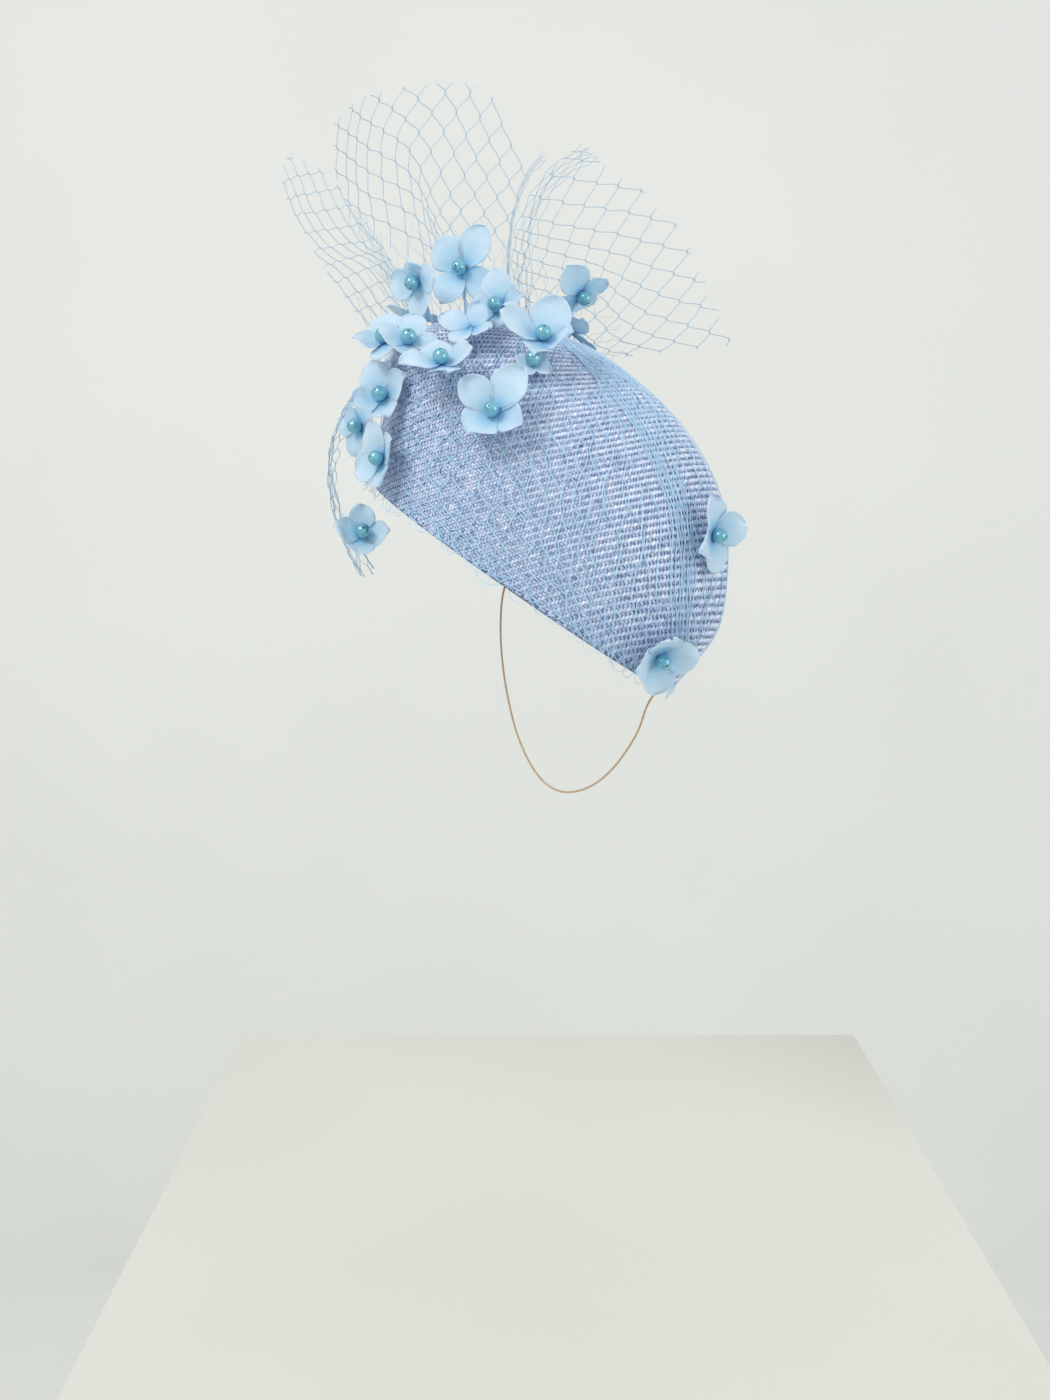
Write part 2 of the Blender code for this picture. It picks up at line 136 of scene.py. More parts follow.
# Ranges that a petal's own form is drawn from: direction in radians, length, width,
# cup across, twist, wave along the edge and its phase, curl at the tip in metres
AXIS_RANGE = (-0.08, 0.08)
LENGTH_RANGE = (0.98, 1.03)
WIDTH_RANGE = (0.96, 1.04)
CUP_RANGE = (0.04, 0.26)
TWIST_RANGE = (-0.12, 0.16)
WAVE_RANGE = (0.6, 1.6)
PHASE_RANGE = (0, 6.28)
CURL_RANGE = (-0.0040, 0.0022)
WAVE_HEIGHT = 0.0013
CRUMPLE_HEIGHT = 0.0009
CRUMPLE_SCALE = 190
EDGE_UNEVENNESS = 0.05
EDGE_DRAW_IN = 0.10

STALK_SIDES = 8
STALK_RADIUS = 0.0011
STALK_TAPER = 0.60
STALK_TOP = 0.0004
STALK_NECK = 0.0012
STALK_SAG = 0.0005
STALK_BITE = 0.0002
STALK_SHADE = (0.55, 0.5)

BEAD_SIDES = 28
BEAD_RINGS = 18
BORE_RADIUS = 0.0005
BORE_FLOOR = 0.55
BORE_MOUTH = 0.985
BORE_EDGE = 0.00012

# around, ring, middle, tip
NET_RIBS = {
    "net_fan_left": (
        (152, 2.30, (-0.75, -0.03, 0.30), (-1.00, -0.06, 0.44)),
        (152, 2.75, (-0.66, -0.01, 0.32), (-1.00, -0.01, 0.43)),
        (152, 3.20, (-0.62, 0.04, 0.32), (-1.01, 0.05, 0.41)),
        (152, 3.60, (-0.60, 0.07, 0.30), (-1.00, 0.10, 0.37)),
    ),
    "net_fan_middle": (
        (163, 3.60, (-0.53, -0.13, 0.22), (-0.79, -0.30, 0.51)),
        (162, 3.90, (-0.52, -0.04, 0.33), (-0.81, -0.17, 0.62)),
        (161, 4.30, (-0.45, 0.04, 0.42), (-0.72, -0.03, 0.76)),
        (159, 4.80, (-0.35, 0.07, 0.45), (-0.61, 0.06, 0.85)),
        (157, 5.20, (-0.27, 0.06, 0.48), (-0.35, 0.08, 0.80)),
        (155, 5.55, (-0.27, 0.02, 0.39), (-0.31, 0.04, 0.68)),
    ),
    "net_fan_right": (
        (150, 5.70, (-0.32, 0.08, 0.38), (-0.29, 0.09, 0.82)),
        (145, 5.90, (-0.26, 0.10, 0.48), (-0.20, 0.09, 0.81)),
        (138, 6.10, (-0.12, 0.09, 0.48), (-0.03, 0.05, 0.80)),
        (130, 6.30, (0.02, 0.06, 0.41), (0.16, -0.01, 0.71)),
        (121, 6.40, (0.16, 0.01, 0.34), (0.35, -0.09, 0.56)),
        (110, 6.40, (0.25, -0.06, 0.24), (0.49, -0.19, 0.42)),
    ),
    "side_veil": (
        (202, 2.75, (-0.02, 0.16, -0.49), (0.42, 0.06, -0.79)),
        (190, 2.70, (0.00, 0.17, -0.50), (0.41, 0.14, -0.85)),
        (176, 2.70, (0.00, 0.13, -0.51), (0.40, 0.13, -0.88)),
        (160, 2.60, (-0.05, 0.11, -0.47), (0.32, 0.09, -0.85)),
    ),
}

# Knots of the upstanding net in the photograph, as pixels, numbered along the two
# ways that its strands run; between these the knots are interpolated
NET_KNOTS = {
    "net_fan_left": (
        ((267, 191), (282, 222), (307, 253), (336, 282), (358, 311)),
        ((283, 183), (296, 215), (321, 249), (356, 273), (379, 303)),
        ((299, 176), (314, 212), (341, 245), (378, 265), (400, 292)),
        ((321, 172), (338, 208), (362, 242), (389, 260), (410, 285)),
        ((341, 171), (358, 204), (385, 237), (404, 255), (421, 279)),
    ),
    "net_fan_middle": (
        ((368, 11), (412, 32), (459, 73), (489, 140), (519, 203)),
        ((352, 54), (389, 77), (432, 113), (464, 175), (495, 231)),
        ((342, 104), (371, 123), (410, 152), (440, 211), (468, 258)),
        ((337, 148), (367, 171), (413, 195), (435, 228), (456, 274)),
        ((337, 195), (373, 218), (422, 242), (448, 271), (472, 314)),
    ),
    "net_fan_right": (
        ((574, 179), (553, 223), (547, 250), (539, 275), (528, 300)),
        ((641, 191), (617, 234), (604, 268), (595, 293), (568, 320)),
        ((712, 208), (687, 252), (659, 294), (633, 327), (609, 351)),
        ((786, 222), (757, 266), (722, 312), (697, 348), (664, 360)),
    ),
}
# Strands from one listed knot to the next, and strands carried on beyond the ends
NET_STEPS = {
    "net_fan_left": (2, 2, 1),
    "net_fan_middle": (2, 3, 1),
    "net_fan_right": (3, 2, 2),
}
VEIL_CELLS = (5, 9)
VEIL_KNOTS = 5
VEIL_SPARE = 1.02
VEIL_WANDER = 0.0012
KNOT_WANDER = 1.5
SHEET_STEPS = 60
SHEET_SPARE = 1.03
STRAND_LEAP = 0.008

# net, across from and to, along from and to, strands gathered there
NET_FOLDS = (
    ("net_fan_left", 0.00, 1.00, 0.00, 0.36, 12),
    ("net_fan_left", 0.78, 1.00, 0.00, 0.60, 5),
    ("net_fan_middle", 0.00, 1.00, 0.00, 0.44, 22),
    ("net_fan_middle", 0.00, 0.09, 0.00, 0.62, 4),
    ("net_fan_middle", 0.92, 1.00, 0.00, 1.04, 5),
    ("net_fan_right", 0.00, 1.00, 0.00, 0.38, 20),
    ("net_fan_right", 0.00, 0.15, 0.00, 1.04, 7),
    ("side_veil", 0.00, 1.00, 0.00, 0.22, 6),
    ("side_veil", 0.00, 0.03, 0.00, 1.00, 2),
)
FOLD_STEPS = 24
FOLD_RAGGEDNESS = 0.25
FOLD_WAVES = 11
FOLD_SWAY = 0.6
FOLD_TAPER = 0.35

ELASTIC_NEAR_END = (346, 0.30)
ELASTIC_FAR_END = (94, 0.30)
ELASTIC_ROUTE = (
    # right, back, up
    (0.639, 0.438, -0.484),
    (0.536, 0.450, -0.645),
    (0.330, 0.500, -0.823),
    (0.082, 0.562, -0.952),
    (-0.155, 0.575, -1.000),
    (-0.361, 0.588, -0.944),
    (-0.526, 0.588, -0.782),
    (-0.619, 0.575, -0.565),
    (-0.660, 0.562, -0.347),
    (-0.660, 0.562, -0.153),
    (-0.629, 0.575, -0.024),
)

# Camera, as the photograph was taken
CAMERA_DISTANCE = 0.770
CAMERA_HEIGHT = 0.0581
CAMERA_SIDE = 0.001
CAMERA_DOWN = math.radians(8.89)
FOCAL_PIXELS = 1400
IMAGE_MIDDLE = (525, 700)

# Weave: rows up the crown, and the floats along a row
ROW_PITCH = 0.0035
FLOAT_PITCH = 0.0020
FLOAT_LENGTH = 0.0031
FLOAT_WIDTH = 0.0014
WEAVE_MIDDLE = Vector((-0.018, 0.0, 0.048))
WEAVE_RADIUS = 0.092
WEAVE_SPLIT = 0.52
WEAVE_LEAN = Vector((-0.25, 0.10, 1.0))
WEAVE_START = 0.25
POLE_SHARE = 0.02
FLOAT_ARCH = 0.00075
FLOAT_CAMBER = 0.00026
FLOAT_NARROWING = 0.30
FLOAT_SPREAD = (0.94, 1.06)
FLOAT_SLANT = 0.10
FLOAT_TONE = (0.61, 0.060)
# Darkening of each float towards its ends and edges: painted shade where it dips under the next floats
FLOAT_END_SHADE = (0.20, 0.10)

# How far the two slants part towards the right: the start and the rate of that, then
# what it adds to a float's length, width, lift and tone, the tone being painted sheen
SLANT_START = 0.35
SLANT_RATE = 0.9
SLANT_LENGTH = 0.16
SLANT_WIDTH = 0.24
SLANT_LIFT = 0.0001
SLANT_SHEEN = 0.11

# Ground under the floats: its grid, depth, how its rings close up to the top, and
# the metres around and up that its pattern is laid out in
SHELL_COLUMNS = 160
SHELL_RINGS = 72
SHELL_INSET = 0.0005
SHELL_CLOSING = 1.15
SHELL_GIRTH = 0.55
SHELL_RISE = 0.16

# Veiling over the crown: threads up to the next track, then pixels of the track
# from the top cluster down to the rim
CROWN_TRACKS = (
    (6, (399, 372), (398, 410), (399, 445), (402, 490), (412, 519)),
    (5, (449, 345), (449, 400), (449, 450), (454, 508), (470, 562)),
    (5, (488, 340), (488, 400), (490, 460), (498, 530), (518, 594)),
    (5, (524, 338), (526, 400), (530, 465), (544, 550), (572, 629)),
    (4, (546, 340), (557, 390), (562, 460), (574, 565), (602, 652)),
    (4, (556, 340), (592, 378), (598, 450), (606, 562), (630, 669)),
    (2, (559, 341), (598, 386), (626, 450), (642, 550), (650, 676)),
    (13, (562, 342), (606, 388), (644, 450), (668, 530), (668, 672)),
    (4, (576, 342), (634, 392), (676, 470), (696, 550), (688, 650)),
    (0, (582, 344), (652, 400), (704, 480), (718, 560), (708, 622)),
)
CROSS_THREADS = 9
BACK_THREADS = 30
RIM_LOOPS = 90
THREAD_RADIUS = 0.00025
STRAND_RADIUS = 0.00022
FINE_SHARE = 0.8

# Threads down the crown, across it and at the back: steps along each, lift off the
# straw with what the three layers add, and the waves, sway and wander
THREAD_STEPS = 60
THREAD_LIFT = 0.0009
THREAD_WAVES = 9
THREAD_SWAY = 0.9
THREAD_WANDER = 1.3
LAYER_LIFT = 0.0003
LAYERS = 3
CLOSE_SPACING = 0.3
LOOSE_SHARE = 0.25
CROSS_STEPS = 90
CROSS_LIFT = 0.0010
CROSS_LEVELS = (0.10, 0.88)
CROSS_SAG = 0.045
CROSS_SCALLOP = 0.010
CROSS_WAVES = 2.5
BACK_STEPS = 46
BACK_GATHER = (165, 5.9)
BACK_START = -22
BACK_SPAN = 214
BACK_RING = 0.05
BACK_WAVES = 8
BACK_SWAY = 0.045
BACK_WANDER = 0.03
BACK_OPENING = 3

# Loops along the rim: degrees that they shift and span, how they hang and lean
LOOP_STEPS = 18
LOOP_RING = 0.30
LOOP_SHIFT = (-3, 3)
LOOP_WIDTH = (6, 17)
LOOP_DROP = (0.0002, 0.0020)
LOOP_LONGER = (1.0, 1.0, 1.0, 1.8)
LOOP_LEAN = (0.6, 1.7)
LOOP_HANG = 0.0070
LOOP_STAND = 0.0012
LOOP_TANGLE = 0.0022
LOOP_SHARE = 0.6

# Joints of the fine net, in cells: half their length, how far the two strands part
# in one, and how far a strand keeps its way beyond it
NET_JOINT = 0.035
JOINT_PARTING = 0.022
JOINT_PULL = 1.6
STRAND_STEPS = 8

# Stage, in metres to the right, away from the camera and up
FLOOR_LEVEL = -0.39
FLOOR_CORNERS = ((-0.23, -0.62), (0.27, -0.62), (0.27, 0.32), (-0.23, 0.32))
GROUND_DROP = 0.9
GROUND_CORNERS = ((-4, -4), (4, -4), (4, 4), (-4, 4))
BACKDROP_DEPTH = 1.5
BACKDROP_CORNERS = ((-4, -1.3), (4, -1.3), (4, 3), (-4, 3))
SKY_COLOUR = (0.98, 0.99, 1.0, 1.0)
SKY_STRENGTH = 0.82
CLIP_START = 0.01
FILM_WIDTH = 36.0

turn = Euler((0.0, HAT_TILT, HAT_TURN)).to_matrix()
side_way = Vector((math.cos(HAT_TURN), math.sin(HAT_TURN), 0.0))
deep_way = Vector((-math.sin(HAT_TURN), math.cos(HAT_TURN), 0.0))
up_way = Vector((0.0, 0.0, 1.0))


# Placing, as in the part

def smooth_rows(rows, place):
    last = len(rows) - 1
    index = min(max(int(math.floor(place)), 0), last - 1)
    share = place - index
    here, after = rows[index], rows[index + 1]
    before = rows[index - 1] if index > 0 else 2 * here - after
    beyond = rows[index + 2] if index + 2 <= last else 2 * after - here
    slope_in = (after - before) / 2
    slope_out = (beyond - here) / 2
    square, cube = share**2, share**3
    return (
        (2 * cube - 3 * square + 1) * here
        + (cube - 2 * square + share) * slope_in
        + (3 * square - 2 * cube) * after
        + (cube - square) * slope_out
    )


def crown_point(around, ring):
    height, front, back, side = smooth_rows(CROWN_SECTIONS, ring)
    angle = math.radians(around)
    power = 2 / CROWN_ROUNDNESS
    along = math.copysign(abs(math.cos(angle)) ** power, math.cos(angle))
    across = math.copysign(abs(math.sin(angle)) ** power, math.sin(angle))
    return Vector((
        RIM_LENGTH / 2 * ((back - front) / 2 + (back + front) / 2 * along),
        RIM_WIDTH / 2 * side * across,
        CROWN_DEPTH * height,
    ))


def crown_normal(around, ring):
    low = max(ring - 0.05, 0.0)
    high = min(ring + 0.05, len(CROWN_SECTIONS) - 1.05)
    round_way = crown_point(around + 0.5, ring) - crown_point(around - 0.5, ring)
    rising = crown_point(around, high) - crown_point(around, low)
    return round_way.cross(rising).normalized()


def aim(face_around, face_up, roll):
    swing, rise = math.radians(face_around), math.radians(face_up)
    face = Vector((
        math.cos(rise) * math.cos(swing),
        math.cos(rise) * math.sin(swing),
        math.sin(rise),
    ))
    right = Vector((-math.sin(swing), math.cos(swing), 0.0))
    upright = face.cross(right)
    spin = math.radians(roll)
    first = math.cos(spin) * right + math.sin(spin) * upright
    return Matrix((first, face.cross(first), face)).transposed()


def bend_petal(distance, lift):
    run = distance - HUB_RADIUS
    angle = math.radians(lift)
    if run <= 0 or abs(angle) < 1e-3:
        return distance, 0.0, 0.0
    radius = PETAL_BEND_LENGTH / angle
    slope = min(run, PETAL_BEND_LENGTH) / radius
    straight = max(run - PETAL_BEND_LENGTH, 0.0)
    reach = HUB_RADIUS + radius * math.sin(slope) + straight * math.cos(slope)
    rise = radius * (1 - math.cos(slope)) + straight * math.sin(slope)
    return reach, rise, slope


def net_point(ribs, across, along):
    rows = np.array([
        (around, ring, *middle, *tip) for around, ring, middle, tip in ribs
    ])
    row = smooth_rows(rows, across * (len(ribs) - 1))
    foot = crown_point(row[0], row[1]) + crown_normal(row[0], row[1]) * NET_FOOT_RISE
    middle = Vector(row[2:5]) * NET_REACH
    tip = Vector(row[5:8]) * NET_REACH
    return foot + middle * 4 * along * (1 - along) + tip * along * (2 * along - 1)


def blossom_seat(row, axes):
    seat, (first, second), stem = row[1:4]
    if seat == "crown":
        foot = crown_point(first, second)
        out = crown_normal(first, second)
        return foot, out, foot + out * stem * HUB_RADIUS
    ribs, out = NET_RIBS[seat], axes.col[2].copy()
    below = min(math.floor(second * VEIL_KNOTS), VEIL_KNOTS - 1)
    knots = [net_point(ribs, first, (below + step) / VEIL_KNOTS) for step in (0, 1)]
    strand = knots[0].lerp(knots[1], second * VEIL_KNOTS - below)
    centre = strand + out * (NET_STRAND / 2 + stem * HUB_RADIUS)
    return net_point(ribs, first, second), out, centre


# Meshes

def add_mesh(name, points, faces, material, smooth=True):
    data = bpy.data.meshes.new(name)
    data.from_pydata([tuple(p) for p in points], [], faces)
    data.validate()
    if smooth:
        data.shade_smooth()
    data.materials.append(material)
    item = bpy.data.objects.new(name, data)
    bpy.context.scene.collection.objects.link(item)
    return item


class Strands:
    """Gathers tubes of a few sides into one mesh."""

    def __init__(self, sides=4):
        self.sides, self.points, self.faces = sides, [], []

    def add(self, line, radius, taper=1.0):
        line = np.array([tuple(p) for p in line])
        if len(line) < 2:
            return
        ways = np.gradient(line, axis=0)
        ways /= np.maximum(np.linalg.norm(ways, axis=1, keepdims=True), 1e-9)
        guide = np.array((0.31, -0.87, 0.38))
        first = np.cross(ways, guide)
        first /= np.maximum(np.linalg.norm(first, axis=1, keepdims=True), 1e-9)
        second = np.cross(ways, first)
        start, sides = len(self.points), self.sides
        for index in range(len(line)):
            size = radius * (1 + (taper - 1) * index / (len(line) - 1))
            for side in range(sides):
                angle = 2 * math.pi * side / sides
                self.points.append(
                    line[index] + size * (math.cos(angle) * first[index] + math.sin(angle) * second[index])
                )
        for index in range(len(line) - 1):
            low = start + index * sides
            for side in range(sides):
                after = (side + 1) % sides
                self.faces.append((low + side, low + after, low + sides + after, low + sides + side))
        self.faces.append(tuple(start + side for side in reversed(range(sides))))
        end = start + (len(line) - 1) * sides
        self.faces.append(tuple(end + side for side in range(sides)))

    def build(self, name, material):
        return add_mesh(name, self.points, self.faces, material)


# Materials

def node(tree, kind, inputs=None, **settings):
    item = tree.nodes.new(kind)
    for key, value in settings.items():
        setattr(item, key, value)
    for key, value in (inputs or {}).items():
        if isinstance(value, bpy.types.NodeSocket):
            tree.links.new(value, item.inputs[key])
        else:
            item.inputs[key].default_value = value
    return item


def new_material(name, settings):
    material = bpy.data.materials.new(name)
    material.use_nodes = True
    shader = material.node_tree.nodes["Principled BSDF"]
    for socket, value in settings.items():
        shader.inputs[socket].default_value = value
    return material, material.node_tree, shader


def ramp(tree, source, stops):
    item = node(tree, "ShaderNodeValToRGB", {"Fac": source})
    band = item.color_ramp
    while len(band.elements) < len(stops):
        band.elements.new(0.5)
    for element, (place, colour) in zip(band.elements, stops):
        element.position = place
        element.color = (*colour, 1.0)
    return item.outputs["Color"]


def bump(tree, shader, height, strength, distance):
    item = node(tree, "ShaderNodeBump", {
        "Height": height, "Strength": strength, "Distance": distance,
    })
    tree.links.new(item.outputs["Normal"], shader.inputs["Normal"])


def stretched_noise(tree, scale, stretch, coordinates="UV", detail=4.0):
    place = node(tree, "ShaderNodeTexCoord")
    mapping = node(tree, "ShaderNodeMapping", {
        "Vector": place.outputs[coordinates], "Scale": stretch,
    })
    item = node(tree, "ShaderNodeTexNoise", {
        "Vector": mapping.outputs["Vector"], "Scale": scale, "Detail": detail,
    })
    return item.outputs["Fac"]


def make_straw():
    """Split straw floats: a tone for each float, with fine fibres along it. The tone also holds painted
    sheen by slant and painted shade towards each float's ends and edges.
    """
    material, tree, shader = new_material("straw_float", {
        "Roughness": 0.48, "Specular IOR Level": 0.35,
    })
    tone = node(tree, "ShaderNodeAttribute", attribute_name="tone")
    fibres = stretched_noise(tree, 1.0, (240, 2300, 1), detail=2.0)
    mixed = node(tree, "ShaderNodeMath", {
        0: fibres, 1: 0.55, 2: tone.outputs["Fac"],
    }, operation="MULTIPLY_ADD")
    colour = ramp(tree, mixed.outputs[0], (
        (0.42, (0.050, 0.080, 0.180)),
        (0.66, (0.270, 0.370, 0.580)),
        (0.84, (0.520, 0.620, 0.800)),
        (1.00, (0.800, 0.840, 0.950)),
    ))
    tree.links.new(colour, shader.inputs["Base Color"])
    bump(tree, shader, fibres, 0.6, 0.0003)
    return material


def make_ground():
    """The dark ground between the floats, and the woven inside of the crown. Its dark colour is painted
    shade for the gaps between the floats, over a lattice of the weave.
    """
    material, tree, shader = new_material("straw_ground", {"Roughness": 0.75})
    place = node(tree, "ShaderNodeTexCoord")
    waves = []
    for angle in (45, -45):
        mapping = node(tree, "ShaderNodeMapping", {
            "Vector": place.outputs["UV"], "Rotation": (0, 0, math.radians(angle)),
        })
        wave = node(tree, "ShaderNodeTexWave", {
            "Vector": mapping.outputs["Vector"], "Scale": 330.0, "Distortion": 0.6,
        })
        waves.append(wave.outputs["Fac"])
    lattice = node(tree, "ShaderNodeMath", {0: waves[0], 1: waves[1]}, operation="MAXIMUM")
    # dark lattice colours: painted shade in the gaps between the floats
    colour = ramp(tree, lattice.outputs[0], (
        (0.15, (0.035, 0.060, 0.140)),
        (0.60, (0.130, 0.190, 0.360)),
        (1.00, (0.300, 0.390, 0.600)),
    ))
    tree.links.new(colour, shader.inputs["Base Color"])
    bump(tree, shader, lattice.outputs[0], 0.7, 0.0005)
    return material


def make_cloth():
    """Stiffened petal cloth: deep blue about the hub, striped out to a pale edge; the deep blue about the
    hub is painted shade around the pearl.
    """
    material, tree, shader = new_material("petal_cloth", {
        "Roughness": 0.65, "Sheen Weight": 0.25, "Specular IOR Level": 0.25,
        "Subsurface Weight": 0.40, "Subsurface Radius": (0.0010, 0.0016, 0.0022),
        "Subsurface Scale": 1.0,
    })
    place = node(tree, "ShaderNodeTexCoord")
    split = node(tree, "ShaderNodeSeparateXYZ", {"Vector": place.outputs["UV"]})
    streaks = stretched_noise(tree, 1.0, (2.5, 34.0, 1.0), detail=3.0)
    shade = node(tree, "ShaderNodeMath", {
        0: streaks, 1: 0.24, 2: split.outputs["X"],
    }, operation="MULTIPLY_ADD")
    # deep blue near the hub: painted shade around the pearl
    colour = ramp(tree, shade.outputs[0], (
        (0.16, (0.060, 0.240, 0.560)),
        (0.34, (0.230, 0.470, 0.750)),
        (0.60, (0.410, 0.605, 0.785)),
        (1.00, (0.505, 0.655, 0.810)),
    ))
    tree.links.new(colour, shader.inputs["Base Color"])
    weave = stretched_noise(tree, 1.0, (60.0, 60.0, 1.0), detail=2.0)
    grain = node(tree, "ShaderNodeMath", {0: weave, 1: 0.5, 2: streaks}, operation="MULTIPLY_ADD")
    bump(tree, shader, grain.outputs[0], 0.50, 0.0005)
    return material


def make_pearl():
    material, tree, shader = new_material("pearl_bead", {
        "Roughness": 0.20, "Metallic": 0.40, "Specular IOR Level": 0.7,
        "Coat Weight": 1.0, "Coat Roughness": 0.06,
    })
    cloud = stretched_noise(tree, 260.0, (1, 1, 1), "Object", 2.0)
    colour = ramp(tree, cloud, (
        (0.35, (0.090, 0.340, 0.460)),
        (0.65, (0.180, 0.490, 0.600)),
    ))
    tree.links.new(colour, shader.inputs["Base Color"])
    return material


def make_thread(name, dark, light, roughness=0.55, scale=900.0):
    material, tree, shader = new_material(name, {
        "Roughness": roughness, "Sheen Weight": 0.2, "Specular IOR Level": 0.4,
    })
    cloud = stretched_noise(tree, scale, (1, 1, 1), "Object", 2.0)
    colour = ramp(tree, cloud, ((0.3, dark), (0.7, light)))
    tree.links.new(colour, shader.inputs["Base Color"])
    bump(tree, shader, cloud, 0.3, 0.0002)
    return material


# Crown

def make_shell():
    """The ground of the woven crown, a little inside the face that the floats make."""
    last = len(CROWN_SECTIONS) - 1
    columns, rings = SHELL_COLUMNS, SHELL_RINGS
    points, faces, spots = [], [], []
    for row in range(rings):
        ring = last * (1 - (1 - row / rings) ** SHELL_CLOSING)
        for column in range(columns):
            around = 360 * column / columns
            place = crown_point(around, ring) - crown_normal(around, ring) * SHELL_INSET
            points.append(turn @ place)
            spots.append((column / columns * SHELL_GIRTH, ring / last * SHELL_RISE))
    points.append(turn @ (crown_point(0, last) - Vector((0, 0, SHELL_INSET))))
    for row in range(rings - 1):
        for column in range(columns):
            after = (column + 1) % columns
            low, high = row * columns, (row + 1) * columns
            faces.append((low + column, low + after, high + after, high + column))
    top = (rings - 1) * columns
    for column in range(columns):
        faces.append((top + column, top + (column + 1) % columns, len(points) - 1))
    shell = add_mesh("crown_ground", points, faces, make_ground())
    layer = shell.data.uv_layers.new(name="UVMap")
    for polygon in shell.data.polygons:
        column = None
        for loop in polygon.loop_indices:
            vertex = shell.data.loops[loop].vertex_index
            if vertex == len(points) - 1:
                spot = (spots[polygon.vertices[0]][0], SHELL_RISE)
            else:
                spot = spots[vertex]
                column = spot[0] if column is None else column
                if column - spot[0] > SHELL_GIRTH / 2:
                    spot = (spot[0] + SHELL_GIRTH, spot[1])
            layer.data[loop].uv = spot
    wall = shell.modifiers.new("straw wall", "SOLIDIFY")
    wall.thickness = STRAW_WALL - SHELL_INSET
    wall.offset = -1.0
    return shell, BVHTree.FromPolygons(points, faces)


middle = turn @ WEAVE_MIDDLE
weave_up = (side_way * WEAVE_LEAN.x + deep_way * WEAVE_LEAN.y + up_way).normalized()
weave_front = (-deep_way - weave_up * (-deep_way).dot(weave_up)).normalized()
weave_right = weave_front.cross(weave_up) * -1


def weave_place(tree, round_angle, rise_angle):
    """Where a way out from the weave's middle meets the crown, and its normal."""
    flat = math.cos(round_angle) * weave_front + math.sin(round_angle) * weave_right
    way = math.cos(rise_angle) * flat + math.sin(rise_angle) * weave_up
    place, normal, _, _ = tree.ray_cast(middle, way)
    if place is None:
        return None
    return place, (normal if normal.dot(way) > 0 else -normal)


def make_weave(name, tree, material, low, high):
    """Twill floats in slanted half rows, each a small arched strip of straw."""
    points, faces, tones, spots = [], [], [], []
    lengths, widths = (-1.0, -0.4, 0.4, 1.0), (-1.0, 0.0, 1.0)
    half_row = ROW_PITCH / 2 / WEAVE_RADIUS
    rows = int(math.pi / half_row)
    for row in range(int(low * rows), int(high * rows)):
        rise = (row + WEAVE_START) * half_row - math.pi / 2
        girth = WEAVE_RADIUS * max(math.cos(rise), POLE_SHARE)
        count = max(int(2 * math.pi * girth / FLOAT_PITCH), 3)
        hand = 1 if row % 2 == 0 else -1
        for index in range(count):
            swing = 2 * math.pi * (index + 0.5 * (row % 2)) / count
            centre = weave_place(tree, swing, rise)
            if centre is None:
                continue
            # To the right one slant makes pale ropes and the other dark dashes: the floats differ in
            # length, width and lift, and painted sheen lightens one slant and darkens the other
            facing = SLANT_START + SLANT_RATE * centre[1].dot(weave_right)
            turned = min(max(facing, 0.0), 1.0) * hand
            long = FLOAT_LENGTH / 2 * random.uniform(*FLOAT_SPREAD) * (1 + SLANT_LENGTH * turned)
            wide = FLOAT_WIDTH / 2 * random.uniform(*FLOAT_SPREAD) * (1 + SLANT_WIDTH * turned)
            along = Vector((FLOAT_PITCH / 2 * hand, ROW_PITCH / 4)).normalized()
            along = Matrix.Rotation(random.uniform(-FLOAT_SLANT, FLOAT_SLANT), 2) @ along
            across = Vector((-along.y, along.x))
            places = []
            for length in lengths:
                narrowed = 1 - FLOAT_NARROWING * length**2
                for width in widths:
                    step = along * length * long + across * width * wide * narrowed
                    found = weave_place(tree, swing + step.x / girth, rise + step.y / WEAVE_RADIUS)
                    if found is not None:
                        height = FLOAT_ARCH * (1 - length**2) - FLOAT_CAMBER * width**2
                        height += SLANT_LIFT * turned
                        places.append(found[0] + found[1] * height)
            if len(places) < len(lengths) * len(widths):
                continue
            start = len(points)
            points += places
            # a random tone of the straw, plus painted sheen that is lighter on one slant and darker on the
            # other
            tone = random.gauss(*FLOAT_TONE) + SLANT_SHEEN * turned
            shift = random.random()
            for length in lengths:
                for width in widths:
                    # painted shade darkens the float towards its ends and edges
                    tones.append(tone - FLOAT_END_SHADE[0] * length**2 - FLOAT_END_SHADE[1] * width**2)
                    spots.append((shift + length * long, width * wide))
            for i in range(len(lengths) - 1):
                for j in range(len(widths) - 1):
                    corner = start + i * len(widths) + j
                    beyond = corner + len(widths)
                    faces.append((corner, corner + 1, beyond + 1, beyond))
    weave = add_mesh(name, points, faces, material)
    attribute = weave.data.attributes.new("tone", "FLOAT", "POINT")
    attribute.data.foreach_set("value", tones)
    layer = weave.data.uv_layers.new(name="UVMap")
    for loop in weave.data.loops:
        layer.data[loop.index].uv = spots[loop.vertex_index]
    return weave


# Net over the crown

def camera_axes():
    place = -deep_way * CAMERA_DISTANCE + side_way * CAMERA_SIDE + up_way * CAMERA_HEIGHT
    forward = deep_way * math.cos(CAMERA_DOWN) - up_way * math.sin(CAMERA_DOWN)
    upward = deep_way * math.sin(CAMERA_DOWN) + up_way * math.cos(CAMERA_DOWN)
    return place, forward, upward


def seen_at(tree, spot, lift=0.0):
    """The place on a surface that a pixel of the photograph shows."""
    place, forward, upward = camera_axes()
    way = (
        forward * FOCAL_PIXELS
        + side_way * (spot[0] - IMAGE_MIDDLE[0])
        - upward * (spot[1] - IMAGE_MIDDLE[1])
    ).normalized()
    hit, normal, _, _ = tree.ray_cast(place, way)
    if hit is None:
        return None
    return hit - normal * math.copysign(lift, normal.dot(way))


